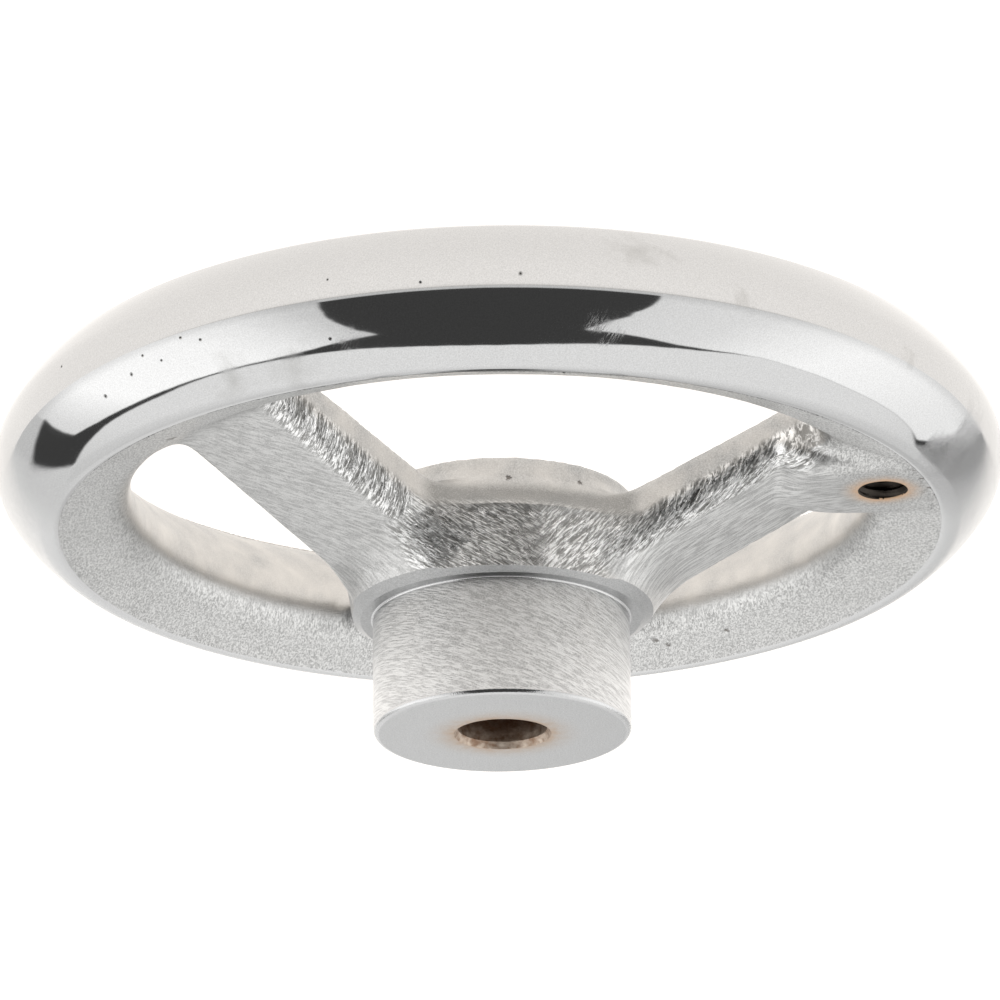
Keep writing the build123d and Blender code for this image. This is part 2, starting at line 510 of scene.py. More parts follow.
def turned(name, profile, around, centre=(0.0, 0.0)):
    """Closed solid of revolution; the profile runs anticlockwise in radius and height."""
    angles = np.linspace(0, 2 * math.pi, around, endpoint=False)
    points, rings = [], []
    for r, z in np.asarray(profile, float):
        if r < 1e-9:
            rings.append([len(points)] * around)
            points.append((centre[0], centre[1], z))
        else:
            rings.append(list(range(len(points), len(points) + around)))
            points += [(centre[0] + r * math.cos(a), centre[1] + r * math.sin(a), z) for a in angles]
    faces = []
    for ring, following in zip(rings, rings[1:] + rings[:1]):
        if ring[0] == ring[1] and following[0] == following[1]:
            continue
        for i in range(around):
            j = (i + 1) % around
            face = [ring[i], ring[j], following[j], following[i]]
            faces.append([v for n, v in enumerate(face) if v not in face[:n]])
    return placed(name, points, faces)


def thread_tool(name, low, high, centre, around=48, steps=6):
    """Closed screw form that cuts the handle's thread, with a number of rows to each turn."""
    rows = int((high - low) / TAP_PITCH * steps) + 1
    angles = np.arange(around) * 2 * math.pi / around
    points = []
    for height in np.linspace(low, high, rows):
        wave = (height / TAP_PITCH - angles / (2 * math.pi)) % 1
        reach = TAP_R + 2 * THREAD_DEPTH * np.abs(wave - 0.5)
        points += [(centre[0] + r * math.cos(a), centre[1] + r * math.sin(a), height)
                   for r, a in zip(reach, angles)]
    faces = [list(range(around))[::-1], list(range((rows - 1) * around, rows * around))]
    for row in range(0, (rows - 1) * around, around):
        for i in range(around):
            j = (i + 1) % around
            faces.append([row + i, row + j, row + around + j, row + around + i])
    return placed(name, points, faces)


def cut(piece, tool):
    """Takes a closed tool's volume out of a piece."""
    change = piece.modifiers.new("cut", "BOOLEAN")
    change.operation = "DIFFERENCE"
    change.solver = "MANIFOLD"
    change.object = tool
    bpy.context.view_layer.objects.active = piece
    bpy.ops.object.modifier_apply(modifier=change.name)
    bpy.data.objects.remove(tool)


# ---------- casting
POLISHED, TURNED, CAST, BORED = range(4)


def grind_rim(piece):
    outside = [(52.0, -4.0), (70.0, -4.0), (70.0, 22.0), (54.0, 22.0), (54.0, 19.5)]
    cut(piece, turned("rim tool", outside + list(polished_curve(0.012)[::-1]), 320))


def turn_hub(piece, wide=26.0, high=48.0):
    foot = [(HUB_R + HUB_FOOT_R * (1 - math.cos(a)), SHOULDER_Z + HUB_FOOT_R * (1 - math.sin(a)))
            for a in np.radians(range(0, 91, 18))]
    edge = [(HUB_R - HUB_EDGE_R * (1 - math.sin(a)), HEIGHT - HUB_EDGE_R * (1 - math.cos(a)))
            for a in np.radians(range(0, 91, 15))]
    ledge = [(LEDGE_R, SHOULDER_Z), (wide, SHOULDER_Z - LEDGE_FALL * (wide - LEDGE_R))]
    cut(piece, turned("hub tool", [(0.0, HEIGHT)] + edge + foot + ledge + [(wide, high), (0.0, high)], 256))


def bore_hub(piece, over=2.0):
    sink_r, sink_z = BORE_SINK
    wide = BORE_R + sink_r * (1 + over / sink_z)
    cut(piece, turned("bore tool", [
        (0.0, HUB_FRONT_Z - over), (wide, HUB_FRONT_Z - over), (BORE_R, HUB_FRONT_Z + sink_z),
        (BORE_R, HEIGHT - sink_z), (wide, HEIGHT + over), (0.0, HEIGHT + over)], 160))


def tap_pad(piece, over=3):
    sink_r, sink_z = TAP_SINK
    cut(piece, thread_tool("tap tool", PAD_TOP - TAP_DEPTH, PAD_TOP - 0.1, TAP_SPOT))
    cut(piece, turned("sink tool", [
        (0.0, PAD_TOP - sink_z), (TAP_R, PAD_TOP - sink_z),
        (TAP_R + sink_r * (over + 1), PAD_TOP + over * sink_z), (0.0, PAD_TOP + over * sink_z)],
        96, TAP_SPOT))


def read(items, name, width=None, kind=float):
    """One value of every item of a mesh, in rows where it has a width."""
    values = np.empty(len(items) * (width or 1), kind)
    items.foreach_get(name, values)
    return values.reshape(-1, width) if width else values


def polished_normals(r, z):
    """Distance to the polished curve, and the outward normal of its nearest point."""
    gap, normal = np.full(len(r), np.inf), np.zeros((len(r), 2))
    for centre, radius, start, end in polished_arcs():
        away_r, away_z = r - centre[0], z - centre[1]
        reach = np.hypot(away_r, away_z)
        turn = np.arctan2(away_r, -away_z) % (2 * math.pi)
        turn = np.where(turn > 1.75 * math.pi, turn - 2 * math.pi, turn)
        beside = np.maximum(np.maximum(start - turn, turn - end) - 0.02, 0)
        miss = np.abs(reach - radius) + 1e3 * beside
        nearer = miss < gap
        gap = np.where(nearer, miss, gap)
        across = np.stack([away_r, away_z], -1) / np.maximum(reach, 1e-9)[:, None]
        normal = np.where(nearer[:, None], across, normal)
    return gap, normal


def worked_zones(centre, normal):
    """Which faces belong to each form that a tool left, told from their middles and normals."""
    r, z, up = np.hypot(centre[:, 0], centre[:, 1]), centre[:, 2], normal[:, 2]
    gap, across = polished_normals(r, z)
    outward = (normal[:, 0] * centre[:, 0] + normal[:, 1] * centre[:, 1]) / np.maximum(r, 1e-9)
    rim = (gap < 0.03) & (outward * across[:, 0] + up * across[:, 1] > 0.985)
    from_tap = np.hypot(centre[:, 0] - TAP_SPOT[0], centre[:, 1] - TAP_SPOT[1])
    tap = (from_tap < TAP_R + 1.2) & (np.abs(casting_field(centre)) > 0.05) & ~rim
    bore = (r < BORE_R + BORE_SINK[0] + 0.01) & (z > HUB_FRONT_Z) & (z < HEIGHT - 1e-3)
    side = (np.abs(r - HUB_R) < 0.03) & (z > SHOULDER_Z + HUB_FOOT_R) & (z < HEIGHT - HUB_EDGE_R)
    flat = (np.abs(up) > 0.999) & ((np.abs(z - HEIGHT) < 0.01) | (np.abs(z - SHOULDER_Z) < 0.01))
    ledge_z = SHOULDER_Z - LEDGE_FALL * (r - LEDGE_R)
    ledge = (r > LEDGE_R) & (r < LEDGE_END_R) & (np.abs(z - ledge_z) < 0.02) & (up > 0.8)
    hub = (side | flat | ledge | (z > SHOULDER_Z + 0.005)) & ~bore
    rounded = hub & ~flat & ~ledge & (r < HUB_R + HUB_FOOT_R)
    return {
        "rim": rim, "hub": hub, "side": side, "ledge": ledge, "holes": bore | tap,
        "edge": rounded & (z > HEIGHT - HUB_EDGE_R), "foot": rounded & (z < SHOULDER_Z + HUB_FOOT_R),
        "bright": rim | (rounded & ~side & (r > HUB_R - HUB_EDGE_R)),
        "wall": bore & (z > HUB_FRONT_Z + BORE_SINK[1]) & (z < HEIGHT - BORE_SINK[1]),
        "cast": ~(rim | tap | bore | hub)}


def from_centre(r, z, centre_r, centre_z):
    """Outward and upward parts of the directions away from a round edge's centre."""
    across = np.stack([r - centre_r, z - centre_z], -1)
    return across / np.linalg.norm(across, axis=1)[:, None]


def true_normals(mesh, points, normal, zones):
    """The normal at each face corner, taken from the true form that the face stands for."""
    vertex = read(mesh.loops, "vertex_index", kind=np.int32)
    owner = np.repeat(np.arange(len(normal)), read(mesh.polygons, "loop_total", kind=np.int32))
    corner, shade = points[vertex], normal[owner].copy()
    at = np.hypot(corner[:, 0], corner[:, 1])
    outward = np.stack([corner[:, 0], corner[:, 1], np.zeros(len(at))], -1) / np.maximum(at, 1e-9)[:, None]
    for zone, lean in (
            ("rim", lambda r, z: polished_normals(r, z)[1]),
            ("side", lambda r, z: (1.0, 0.0)),
            ("ledge", lambda r, z: np.array((LEDGE_FALL, 1.0)) / math.hypot(1.0, LEDGE_FALL)),
            ("edge", lambda r, z: from_centre(r, z, HUB_R - HUB_EDGE_R, HEIGHT - HUB_EDGE_R)),
            ("foot", lambda r, z: -from_centre(r, z, HUB_R + HUB_FOOT_R, SHOULDER_Z + HUB_FOOT_R)),
            ("wall", lambda r, z: (-1.0, 0.0))):
        pick = zones[zone][owner]
        across = np.broadcast_to(lean(at[pick], corner[pick, 2]), (np.count_nonzero(pick), 2))
        shade[pick] = outward[pick] * across[:, :1]
        shade[pick, 2] = across[:, 1]
    pick = zones["cast"][owner]
    shade[pick] = field_slope(points, rough_field)[vertex[pick]]
    return shade


def finish_faces(piece, finishes):
    """Gives each face its finish, and each corner the true normal of its surface."""
    mesh = piece.data
    mesh.materials.clear()
    for material in finishes:
        mesh.materials.append(material)
    points = read(mesh.vertices, "co", 3) * 1000
    normal = read(mesh.polygons, "normal", 3)
    zones = worked_zones(read(mesh.polygons, "center", 3) * 1000, normal)
    finish = np.select([zones["bright"], zones["hub"], zones["holes"]], [POLISHED, TURNED, BORED], CAST)
    mesh.polygons.foreach_set("material_index", finish.astype(np.int32))
    mesh.polygons.foreach_set("use_smooth", np.ones(len(normal), bool))
    mesh.normals_split_custom_set(true_normals(mesh, points, normal, zones).tolist())
    for name, value in (("ground", ground_share(points)), ("strokes", grinding_strokes(points))):
        mesh.attributes.new(name, "FLOAT", "POINT").data.foreach_set("value", value)


def build_casting(finishes):
    points, quads = net_surface(casting_field, *CASTING_BOX, CELL)
    points, faces = with_fine_zones(evened(points, quads), quads)
    piece = placed("handwheel_casting", points, faces)
    for work in (grind_rim, turn_hub, bore_hub, tap_pad):
        work(piece)
    finish_faces(piece, finishes)
    return piece


# ---------- materials
def laid(operation, swapped=False):
    """A sum on amounts, which lays one Math node."""
    def lay(amount, *others):
        return amount.graph.math(operation, *((*others, amount) if swapped else (amount, *others)))
    return lay


class Amount:
    """A value that a material works out over its surface; sums with it lay the nodes."""

    __add__, __mul__, __pow__ = laid("ADD"), laid("MULTIPLY"), laid("POWER")
    __sub__, __rsub__ = laid("SUBTRACT"), laid("SUBTRACT", swapped=True)
    __truediv__, __rtruediv__ = laid("DIVIDE"), laid("DIVIDE", swapped=True)
    __abs__, scaled = laid("ABSOLUTE"), laid("MULTIPLY_ADD")

    def __init__(self, graph, socket):
        self.graph, self.socket = graph, socket

    def clamped(self):
        """Keeps the last sum between 0 and 1."""
        self.socket.node.use_clamp = True
        return self

    def curve(self, points):
        """A curve through (value, result) points; results must lie between 0 and 100."""
        low, high = float(points[0][0]), float(points[-1][0])
        inside = self.graph.lay("MapRange", dict(enumerate((self, low, high, 0.0, 1.0))))
        made = self.graph.node("FloatCurve")
        line = made.mapping.curves[0]
        while len(line.points) < len(points):
            line.points.new(0.5, 0.5)
        for spot, (at, result) in zip(line.points, points):
            spot.location = ((at - low) / (high - low), result / 100)
            spot.handle_type = "VECTOR"
        made.mapping.update()
        self.graph.link(inside, made.inputs["Value"])
        return Amount(self.graph, made.outputs[0]) * 100.0

    def step(self, edge, soft):
        """0 below the edge, 1 above it, softened over a width."""
        part = ((self - self.graph.math("SUBTRACT", edge, soft / 2)) / soft).clamped()
        return self.graph.lay("MapRange", {0: part}, interpolation_type="SMOOTHSTEP")

    def between(self, low, high, soft):
        return self.step(low, soft) * (1.0 - self.step(high, soft))

    def mix(self, first, second):
        """Blend of two values by this share."""
        return self.graph.lay("Mix", {0: self, 2: first, 3: second})

    def colours(self, first, second):
        """Blend of two colours by this share."""
        first, second = ((*c, 1) if isinstance(c, tuple) else c for c in (first, second))
        return self.graph.lay("Mix", {0: self, 6: first, 7: second}, 2, data_type="RGBA")


class Graph:
    """Short spellings for laying shader nodes."""

    def __init__(self, tree):
        self.tree = tree

    def node(self, kind, **settings):
        made = self.tree.nodes.new("ShaderNode" + kind)
        for name, value in settings.items():
            setattr(made, name, value)
        return made

    def link(self, source, socket):
        """Joins a source to an input, or sets the input to a constant."""
        source = getattr(source, "socket", source)
        if isinstance(source, bpy.types.NodeSocket):
            self.tree.links.new(source, socket)
        else:
            socket.default_value = source

    def lay(self, kind, sources, out=0, **settings):
        """Lays a node with its sources, and gives one of its outputs."""
        made = self.node(kind, **settings)
        for name, source in sources.items():
            self.link(source, made.inputs[name])
        return Amount(self, made.outputs[out])

    def math(self, operation, *inputs):
        return self.lay("Math", dict(enumerate(inputs)), operation=operation)

    def group(self, tree, **values):
        """Places a node group with its own values, and gives its outputs by name."""
        made = self.lay("Group", values, node_tree=tree).socket.node
        return {out.name: Amount(self, out) for out in made.outputs}

    def noise(self, place, **values):
        return self.lay("TexNoise", {"Vector": place, **values})

    def here(self):
        """Position on the piece, in metres."""
        return self.lay("TexCoord", {}, "Object")

    def parts(self, vector):
        """The x, y and z of a vector."""
        made = self.lay("SeparateXYZ", {0: vector}).socket.node
        return [Amount(self, out) for out in made.outputs]

    def facing(self):
        """The x, y and z of the surface's normal."""
        return self.parts(self.lay("NewGeometry", {}, "Normal"))

    def distance(self, first, second):
        return self.lay("VectorMath", {0: first, 1: second}, "Value", operation="DISTANCE")


def new_material(name):
    made = bpy.data.materials.new(name)
    made.use_nodes = True
    made.node_tree.nodes.clear()
    return made, Graph(made.node_tree)


def new_group(name, outputs, **inputs):
    """Node group with named outputs, and inputs with their first values."""
    tree = bpy.data.node_groups.new(name, "ShaderNodeTree")
    for label, value in inputs.items():
        kind = "NodeSocketVector" if isinstance(value, tuple) else "NodeSocketFloat"
        tree.interface.new_socket(label, in_out="INPUT", socket_type=kind).default_value = value
    for label in outputs:
        tree.interface.new_socket(label, in_out="OUTPUT", socket_type="NodeSocketFloat")
    graph = Graph(tree)
    given, out = (tree.nodes.new("NodeGroup" + end) for end in ("Input", "Output"))
    return tree, graph, {socket.name: Amount(graph, socket) for socket in given.outputs}, out.inputs


def marks_group():
    """Short strokes left in the metal, all lying one way."""
    tree, graph, given, out = new_group(
        "lying_marks", ("Height", "Tone"), Turn=0.0, Tilt=0.0, Size=(0.002, 0.0004, 0.004), Wander=0.3,
        Contrast=3.5)
    turn = graph.lay("CombineXYZ", {"Y": given["Tilt"], "Z": given["Turn"]})
    laid = graph.lay("Mapping", {"Vector": graph.here(), "Rotation": turn, "Scale": given["Size"]},
                     vector_type="TEXTURE")
    height = graph.noise(laid, Scale=1.0, Detail=2.0, Roughness=0.55, Distortion=given["Wander"]) - 0.5
    graph.link(height, out["Height"])
    graph.link((height * given["Contrast"] + 0.5).clamped(), out["Tone"])
    return tree


def grain_group():
    """Fine even grain of satin metal, with a slow change of tone."""
    tree, graph, given, out = new_group(
        "fine_grain", ("Height", "Tone", "Cloud"), Size=0.0002, Patch=0.006)
    place = graph.here()
    height = graph.noise(place, Scale=1.0 / given["Size"], Detail=2.0) - 0.5
    graph.link(height, out["Height"])
    graph.link(graph.noise(place, Scale=1.0 / given["Patch"], Detail=3.0) - 0.5, out["Cloud"])
    graph.link((height * 2.2 + 0.5).clamped(), out["Tone"])
    return tree


def stain_group():
    """Stain round a hole: strongest at its edge and gone at its reach."""
    tree, graph, given, out = new_group(
        "stain_ring", ("Share",), Centre=(0, 0, 0), Edge=0.006, Reach=0.009)
    place = graph.here()
    away = graph.distance(place, given["Centre"]) - given["Edge"]
    left = 1.0 - (away / (given["Reach"] - given["Edge"])).clamped()
    uneven = graph.noise(place, Scale=900.0, Detail=4.0).scaled(1.6, 0.2)
    graph.link((left * left * uneven).clamped(), out["Share"])
    return tree


def spot_group():
    """A soft or sharp spot at a place on the surface."""
    tree, graph, given, out = new_group(
        "spot", ("Share",), Centre=(0, 0, 0), Radius=0.0003, Soft=0.5, Ragged=0.3)
    place = graph.here()
    uneven = (graph.noise(place, Scale=1.5 / given["Radius"], Detail=3.0) - 0.5) * given["Ragged"]
    reach = graph.distance(place, given["Centre"]) / given["Radius"] + uneven * 2.0
    graph.link(((1.0 - reach) / given["Soft"]).clamped(), out["Share"])
    return tree


MARKS, GRAIN, STAIN, SPOT = marks_group(), grain_group(), stain_group(), spot_group()


def plate_shader(graph, roughness):
    """Bright plate over iron, its colour, roughness and normal still to be joined."""
    shader = graph.node("BsdfPrincipled")
    shader.inputs["Metallic"].default_value = 1.0
    shader.inputs["Roughness"].default_value = roughness
    graph.link(shader.outputs[0], graph.node("OutputMaterial").inputs["Surface"])
    return shader


def raise_surface(graph, shader, height):
    """Leans the shader's normal by a height in metres."""
    lean = graph.lay("Bump", {"Strength": 1.0, "Distance": 1.0, "Height": height})
    graph.link(lean, shader.inputs["Normal"])


# Places and a radius in mm: pinholes in the plate, dull smudges, scuffs, wear, and pits in the cast skin.
PINHOLES = (
    (52.03, -36.34, 8.05, 0.24), (46.33, -40.36, 13.63, 0.30), (42.91, -44.88, 12.75, 0.28),
    (41.45, -47.33, 11.39, 0.22), (39.14, -48.44, 12.51, 0.20), (36.74, -51.33, 10.87, 0.24),
    (34.33, -52.56, 11.68, 0.24), (19.08, -58.00, 14.07, 0.26), (19.34, -60.40, 7.77, 0.20),
    (8.67, -62.87, 9.37, 0.22), (-2.71, -63.44, 8.67, 0.32))
SMUDGES = (
    (-16.18, -59.95, 4.56, 3.4), (-19.5, -59.6, 3.6, 2.2), (-28.2, -56.83, 9.5, 1.8),
    (-48.8, -40.34, 10.22, 1.6), (30.95, -50.45, 15.98, 3.2), (23.2, -53.9, 16.3, 4.0))
SCUFFS = ((-11.75, -60.38, 13.54, 2.0), (-13.2, -59.5, 15.0, 2.0), (17.5, -58.5, 14.8, 1.8))
WORN = ((-54.87, -22.13, 15.99, 6.5), (-55.5, -24.5, 11.5, 4.0))
CAST_PITS = (
    (-30.29, 40.42, 15.66, 0.45), (-1.13, -17.45, 15.65, 0.40), (-9.87, -14.37, 15.23, 0.35),
    (39.06, -31.3, 15.46, 0.8), (-53.77, -14.36, 17.42, 0.55), (-51.5, -19.55, 17.29, 0.38),
    (-52.72, -16.59, 17.34, 0.42), (-50.3, -22.4, 17.3, 0.3),
    (-20.88, 45.12, 15.32, 0.5), (-22.6, 45.7, 15.8, 0.45))


def spots(graph, places, soft, ragged):
    """The strongest of a set of spots, each given as x, y, z and radius in mm."""
    most = None
    for x, y, z, radius in places:
        centre = (x / 1000, y / 1000, z / 1000)
        share = graph.group(SPOT, Centre=centre, Radius=radius / 1000, Soft=soft, Ragged=ragged)["Share"]
        most = share if most is None else graph.math("MAXIMUM", most, share)
    return most


def polished_plate():
    made, graph = new_material("polished_plate")
    shader = plate_shader(graph, 0.05)
    grain = graph.group(GRAIN, Size=0.00016, Patch=0.007)
    holes = spots(graph, PINHOLES, 0.8, 0.3)
    smudge = spots(graph, SMUDGES, 1.6, 1.4)
    scratch = graph.group(MARKS, Tilt=-0.9, Size=(0.0012, 0.004, 0.00012), Wander=1.2, Contrast=9.0)
    scuff = spots(graph, SCUFFS, 1.6, 1.0) * scratch["Tone"] ** 3.0
    # Painted light: the rim's far half, told by its y, is lightened towards pale grey and made rougher; the
    # listed wear spots nearer the front are darkened and made rougher.
    far = graph.parts(graph.here())[1].step(-0.014, 0.024)
    wear_and_far_half_light = graph.math("MAXIMUM", spots(graph, WORN, 1.4, 0.8), far * 0.8)
    shade = grain["Tone"].colours((0.52, 0.522, 0.524), (0.63, 0.633, 0.636))
    shade = (smudge * 0.4).colours(shade, (0.3, 0.295, 0.28))
    wear_and_far_half_colour = far.colours((0.28, 0.28, 0.285), (0.8, 0.805, 0.81))
    wear_and_far_half_colour = (grain["Tone"] * 0.5).colours(wear_and_far_half_colour, (0.5, 0.5, 0.5))
    shade = (wear_and_far_half_light * 0.85).colours(shade, wear_and_far_half_colour)
    graph.link(holes.colours(shade, (0.03, 0.028, 0.025)), shader.inputs["Base Color"])
    rough = grain["Cloud"].scaled(0.05, 0.05)
    for share, amount in ((smudge, 0.1), (scuff, 0.3), (wear_and_far_half_light, 0.22), (holes, 0.5)):
        rough = share.scaled(amount, rough)
    graph.link(rough, shader.inputs["Roughness"])
    raise_surface(graph, shader, grain["Cloud"] * 1.0e-5 + holes * -6e-5 + grain["Height"] * wear_and_far_half_light * 5e-5)
    return made


def turned_plate():
    made, graph = new_material("turned_plate")
    shader = plate_shader(graph, 0.3)
    grain = graph.group(GRAIN, Size=0.00018, Patch=0.005)
    marks = graph.group(MARKS, Tilt=0.38, Size=(0.0012, 0.006, 0.00017), Wander=0.12, Contrast=5.5)
    rust = graph.group(STAIN, Centre=(0, 0, HEIGHT / 1000), Edge=0.0056, Reach=0.0105)["Share"]
    aside, _, upward = graph.facing()
    up = graph.parts(graph.here())[2]
    flat = abs(upward)
    round_side = 1.0 - flat
    painted_shade_to_shoulder = up.step(0.036, 0.016) - 1.0
    # Painted light: besides the turning marks, the hub is lightened where its faces turn sideways in x, on
    # its flat faces and on its round sides, and painted darker towards the shoulder.
    pale = marks["Tone"] * flat.scaled(-0.6, 0.62)
    pale = pale + (aside ** 2.0 * 0.3 + flat * 0.28 + painted_shade_to_shoulder * 0.2 + round_side * 0.06)
    shade = grain["Tone"].colours((0.32, 0.323, 0.325), (0.6, 0.603, 0.605))
    shade = pale.colours(shade, (0.8, 0.806, 0.81))
    # Painted shade: the ledge below the shoulder is darkened.
    ledge = 1.0 - up.step(0.0284, 0.0004)
    shade = (ledge * 0.32).colours(shade, (0.22, 0.22, 0.217))
    graph.link(rust.colours(shade, (0.52, 0.40, 0.30)), shader.inputs["Base Color"])
    graph.link(rust.scaled(0.3, 0.3), shader.inputs["Roughness"])
    raise_surface(graph, shader, grain["Height"] * 3e-5 + marks["Height"] * round_side * 4e-5)
    return made


def satin_marks(graph, one_way, at_rim):
    """Tone and height of the satin finish's marks: endways on the arms and outward on the rim."""
    level = graph.group(MARKS, Size=(0.0016, 0.0003, 0.004), Wander=0.4, Contrast=5.0)
    endways = graph.group(MARKS, Turn=math.radians(SPOKE_AZIMUTHS[0]), Size=(0.0022, 0.0003, 0.004),
                          Wander=0.4, Contrast=6.0)
    outward = graph.group(MARKS, Turn=math.radians(-101), Size=(0.0004, 0.00022, 0.004), Wander=0.8,
                          Contrast=5.5)
    return [at_rim.mix(one_way.mix(endways[name], level[name]), outward[name]) for name in ("Tone", "Height")]


def grinding_marks(graph, one_way, off_neck):
    """Tone and height of the fine marks in the hand grinding, which follow its coarse strokes."""
    first, second = (graph.group(MARKS, Turn=turn, Size=(0.0013, 0.0002, 0.0012), Wander=0.9, Contrast=6.0)
                     for turn in STROKE_TURNS)
    falling, rising = (graph.group(MARKS, Tilt=tilt, Size=(0.0011, 0.005, 0.00017), Wander=0.6, Contrast=5.0)
                       for tilt in (0.5, -0.8))
    return [off_neck.mix(one_way.mix(rising[name], falling[name]), one_way.mix(first[name], second[name]))
            for name in ("Tone", "Height")]


def cast_plate():
    made, graph = new_material("cast_plate")
    shader = plate_shader(graph, 0.34)
    grain = graph.group(GRAIN, Size=0.00018, Patch=0.005)
    strokes, ground = (graph.lay("Attribute", {}, "Fac", attribute_name=name)
                       for name in ("strokes", "ground"))
    x, y, z = graph.parts(graph.here())
    reach = graph.math("SQRT", x ** 2.0 + y ** 2.0)
    at_rim = reach.step(0.0455, 0.002)
    off_neck = reach.step(0.0245, 0.0015)
    one_way = x.step(-0.005, 0.003)
    lying, raised = satin_marks(graph, one_way, at_rim)
    scored, score = grinding_marks(graph, one_way, off_neck)
    facing_up = graph.facing()[2]
    upward = facing_up.step(0.45, 0.5)
    upright = 1.0 - facing_up.step(0.35, 0.3)
    unground = 1.0 - ground
    mouth = (TAP_SPOT[0] / 1000, TAP_SPOT[1] / 1000, PAD_TOP / 1000)
    pits = spots(graph, CAST_PITS, 0.7, 1.2)

    shade = grain["Tone"].colours((0.32, 0.32, 0.318), (0.54, 0.54, 0.535))
    patch = (grain["Cloud"] * 1.4).clamped() * upward
    shade = patch.colours(shade, (0.25, 0.25, 0.245))
    # Painted reflection: upright faces away from the grinding are tinted beige, standing in for the floor
    # mirrored in them, more so on the rim.
    skin = grain["Cloud"].scaled(1.5, at_rim.scaled(0.3, 0.25)).clamped() * (upright * unground)
    shade = skin.colours(shade, (0.7, 0.675, 0.642))
    # Painted shade: a dark band round the drum near its flare, from about 17 to 21 mm up.
    drum_flare_painted_shade = z.between(0.0168, 0.0212, 0.0024) * (1.0 - reach.step(0.0225, 0.002)) * unground
    drum_flare_painted_shade = (drum_flare_painted_shade * grain["Tone"].scaled(-0.5, 1.25)).clamped()
    shade = (drum_flare_painted_shade * 0.75).colours(shade, (0.2, 0.198, 0.19))
    # Real satin marks with painted light: on up-facing faces they are lightened, most on the rim, more on the
    # arms at negative x than at positive x.
    pale = lying * upward * at_rim.mix(one_way.scaled(-0.22, 0.58), 0.72)
    shade = pale.colours(shade, (0.82, 0.82, 0.81))
    round_mouth = graph.group(SPOT, Centre=mouth, Radius=0.0105, Soft=0.7, Ragged=0.5)["Share"]
    shade = (round_mouth * 0.4).colours(shade, (0.27, 0.27, 0.265))
    # Painted shade and painted highlight: the grinding strokes' valleys are darkened and their crests
    # lightened, with the highlight's strength differing between the neck and the two ground arms.
    cuts = strokes * 0.5 + (scored - 0.5)
    shade = ((cuts * -1.8).clamped() * ground).colours(shade, (0.24, 0.238, 0.23))
    sheen = off_neck.mix(1.5, one_way.mix(1.7, 2.4))
    shade = ((cuts * sheen).clamped() * ground).colours(shade, (0.95, 0.95, 0.945))
    shade = (pits * 0.8).colours(shade, (0.12, 0.1, 0.085))
    rust = graph.group(STAIN, Centre=mouth, Edge=0.0031, Reach=0.0058)["Share"]
    graph.link(rust.colours(shade, (0.62, 0.42, 0.27)), shader.inputs["Base Color"])
    graph.link(ground.scaled(-0.06, lying.scaled(-0.06, 0.38)), shader.inputs["Roughness"])
    raise_surface(graph, shader, (
        grain["Height"] * 2.6e-5 + raised * upward * 6e-5 + score * ground * 1.5e-4 + pits * -1.2e-4))
    return made


def bored_iron():
    made, graph = new_material("bored_iron")
    shader = plate_shader(graph, 0.55)
    grain = graph.group(GRAIN, Size=0.0003, Patch=0.001)
    up = graph.parts(graph.here())[2]
    share = grain["Cloud"].scaled(2.6, 0.5).clamped()
    in_hub = up.step(0.02, 0.002)
    deep = share.colours((0.17, 0.085, 0.045), (0.27, 0.2, 0.155))
    # Painted shade: below 20 mm up, the tap hole and the bore's front end are painted near black for the dark
    # inside of the holes.
    deep = in_hub.colours((0.07, 0.06, 0.052), deep)
    near_mouth = 1.0 - (HEIGHT / 1000 - up).step(0.0018, 0.0032)
    flecked = share.colours((0.3, 0.2, 0.14), (0.72, 0.63, 0.54))
    graph.link((near_mouth * in_hub).colours(deep, flecked), shader.inputs["Base Color"])
    raise_surface(graph, shader, grain["Height"] * 4e-5 + grain["Cloud"] * 5e-5)
    return made


# ---------- stage
# Edges of what the polish mirrors, as (azimuth, elevation); light levels and elevations run from 0 to 100.
CEILING_EDGE = (
    (-180, 22), (-165, 27), (-140, 29), (-127, 29), (-120, 31.5), (-105, 39), (-90, 45), (-80, 48.5),
    (-70, 55.5), (-60, 60.5), (-45, 66), (-30, 70), (-15, 72.5), (0, 73.2), (15, 72.5), (30, 70.5),
    (45, 66.5), (60, 60.5), (70, 57), (75, 54.5), (90, 47.5), (105, 41.5), (120, 33), (130, 29),
    (137, 26.5), (150, 29), (165, 26), (180, 22))
BOX_TOP = (
    (-180, 20), (-127, 29), (-120, 31.5), (-105, 39), (-90, 45), (-80, 48.5), (-70, 54), (-60, 57),
    (-28, 58), (0, 57), (38, 56.5), (60, 56), (68, 55), (75, 53), (90, 46.5), (100, 41.5), (110, 36),
    (118, 30.5), (124, 25), (180, 20))
BOX_LIGHT = (
    (-180, 80), (-130, 80), (-120, 83), (-105, 91), (-90, 95), (-75, 86), (-60, 73), (-45, 70), (-34, 68),
    (38, 56), (45, 62), (60, 83), (75, 95), (90, 98), (105, 100), (120, 72), (180, 70))
BOX_RISE = ((-10, 78), (0, 80), (5, 86), (10, 95), (15, 100), (90, 100))
LEFT_EDGE = ((-10, 38.5), (8, 38.5), (25, 39.5), (42, 42.5), (50, 41), (56, 38), (90, 38))
RIGHT_EDGE = ((-10, 35), (45, 35), (50, 32), (57, 28.5), (90, 28.5))
OUTER_EDGE = ((-10, 97), (12, 97), (25, 99.5), (33, 95), (90, 95))
OUTER_SHIFT = 24.5
FOOT_EDGE = ((0, 4.5), (45, 4.5), (120, 11), (180, 11))
CEILING_LIGHT = ((-10, 50), (20, 50), (35, 58), (50, 66), (62, 72), (90, 72))
CEILING_FRONT = 72.0
GAP_LIGHT = 4.2
FOOT_LIGHT = 50.0
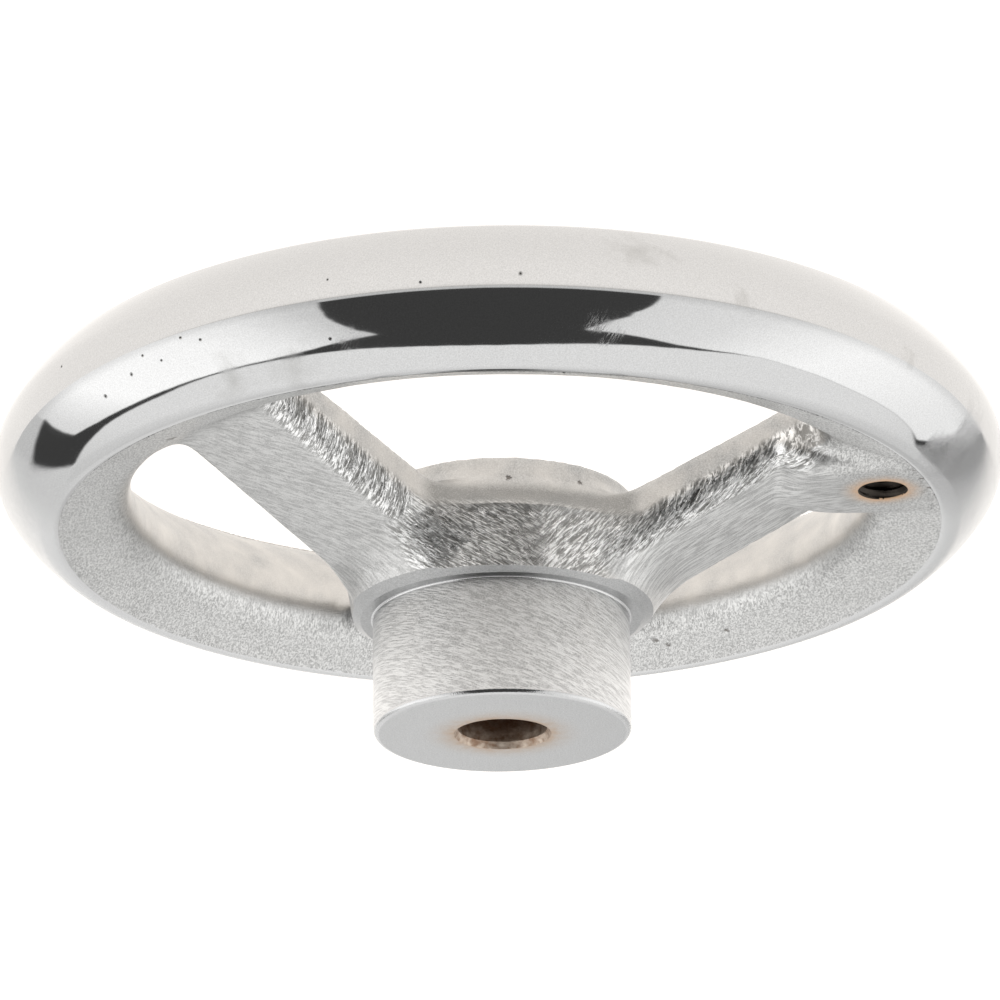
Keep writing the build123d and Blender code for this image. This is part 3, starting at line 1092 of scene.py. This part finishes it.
SIDE_LIGHT = 30.0
BACK_LIGHT = (45.0, 58.0)
FULL_LIGHT = 60.0
FLOOR_FULL = 48.0
FLOOR_LIGHT = ((0, 52), (120, 52), (300, 44), (500, 33), (700, 27), (900, 25))


def light_boxes(azimuth, elevation):
    """Share of a direction that a light box fills, on either side of the gap in front."""
    left_edge, right_edge, outer_edge = (
        elevation.curve(edge) for edge in (LEFT_EDGE, RIGHT_EDGE, OUTER_EDGE))
    left = azimuth.step(left_edge, 1.0) * (1.0 - azimuth.step(outer_edge + OUTER_SHIFT, 1.0))
    right = azimuth.between(-131.0, right_edge * -1.0, 1.0)
    return (left + right) * (1.0 - elevation.step(azimuth.curve(BOX_TOP), 1.0))


def studio():
    """Pale studio: a light box to each side in front, a dark gap between them, and a lit ceiling."""
    world = bpy.data.worlds.new("studio")
    world.use_nodes = True
    world.node_tree.nodes.clear()
    sky = Graph(world.node_tree)
    x, y, z = sky.parts(sky.lay("TexCoord", {}, "Generated"))
    azimuth = sky.math("DEGREES", sky.math("ARCTAN2", x, y * -1.0))
    elevation = sky.math("DEGREES", sky.math("ARCSINE", z))
    from_front = abs(azimuth)
    foot = 1.0 - elevation.step(from_front.curve(FOOT_EDGE), 2.0)
    light = foot.mix(GAP_LIGHT, FOOT_LIGHT)
    light = (1.0 - azimuth.step(-133.5, 2.0)).mix(light, SIDE_LIGHT)
    back = 1.0 - azimuth.between(-146.0, 137.0, 2.0)
    light = back.mix(light, azimuth.step(0.0, 1.0).mix(*BACK_LIGHT))
    box_light = azimuth.curve(BOX_LIGHT) * elevation.curve(BOX_RISE)
    light = light_boxes(azimuth, elevation).mix(light, box_light / 100.0)
    ceiling = from_front.step(132.0, 36.0).mix(CEILING_FRONT, elevation.curve(CEILING_LIGHT))
    light = elevation.step(azimuth.curve(CEILING_EDGE), 1.0).mix(light, ceiling)
    glow = sky.lay("Background", {"Strength": light / FULL_LIGHT, "Color": (1.0, 0.995, 0.985, 1)})
    sky.link(glow, sky.node("OutputWorld").inputs["Surface"])
    return world


def pale_floor():
    """Floor that glows a little less the further it lies ahead of the wheel."""
    pale, graph = new_material("pale_floor")
    ahead = graph.parts(graph.here())[1] * -1000.0
    strength = ahead.curve(FLOOR_LIGHT) / FLOOR_FULL
    glow = graph.lay("Emission", {"Strength": strength, "Color": (1.035, 1.0, 0.96, 1)})
    matt = graph.lay("BsdfDiffuse", {"Color": (0.19, 0.185, 0.18, 1)})
    both = graph.lay("AddShader", {0: glow, 1: matt})
    graph.link(both, graph.node("OutputMaterial").inputs["Surface"])
    half = 3000
    corners = [(-half, -half, 0), (half, -half, 0), (half, half, 0), (-half, half, 0)]
    floor = placed("floor", corners, [(0, 1, 2, 3)])
    floor.data.materials.append(pale)
    return floor


def long_lens_camera():
    """Camera in front and above, rolled so that the hub's turned end hangs down in the picture."""
    lens = bpy.data.cameras.new("camera")
    lens.lens = 162.5
    lens.sensor_width = 36.0
    lens.clip_start = 0.01
    camera = bpy.data.objects.new("camera", lens)
    bpy.context.scene.collection.objects.link(camera)
    target = Vector((-0.05, 0.0, 11.91)) * 0.001
    rise, roll, distance = math.radians(20.935), math.radians(179.261), 0.5708
    camera.location = target + distance * Vector((0.0, -math.cos(rise), math.sin(rise)))
    level = (target - camera.location).to_track_quat("-Z", "Y").to_matrix().to_4x4()
    camera.matrix_world = Matrix.Translation(camera.location) @ level @ Matrix.Rotation(roll, 4, "Z")
    return camera


casting = build_casting((polished_plate(), turned_plate(), cast_plate(), bored_iron()))
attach(casting, "root")
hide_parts("handwheel")

floor = pale_floor()
bpy.context.scene.world = studio()
bpy.context.scene.camera = long_lens_camera()
bpy.context.scene.view_settings.view_transform = "Standard"
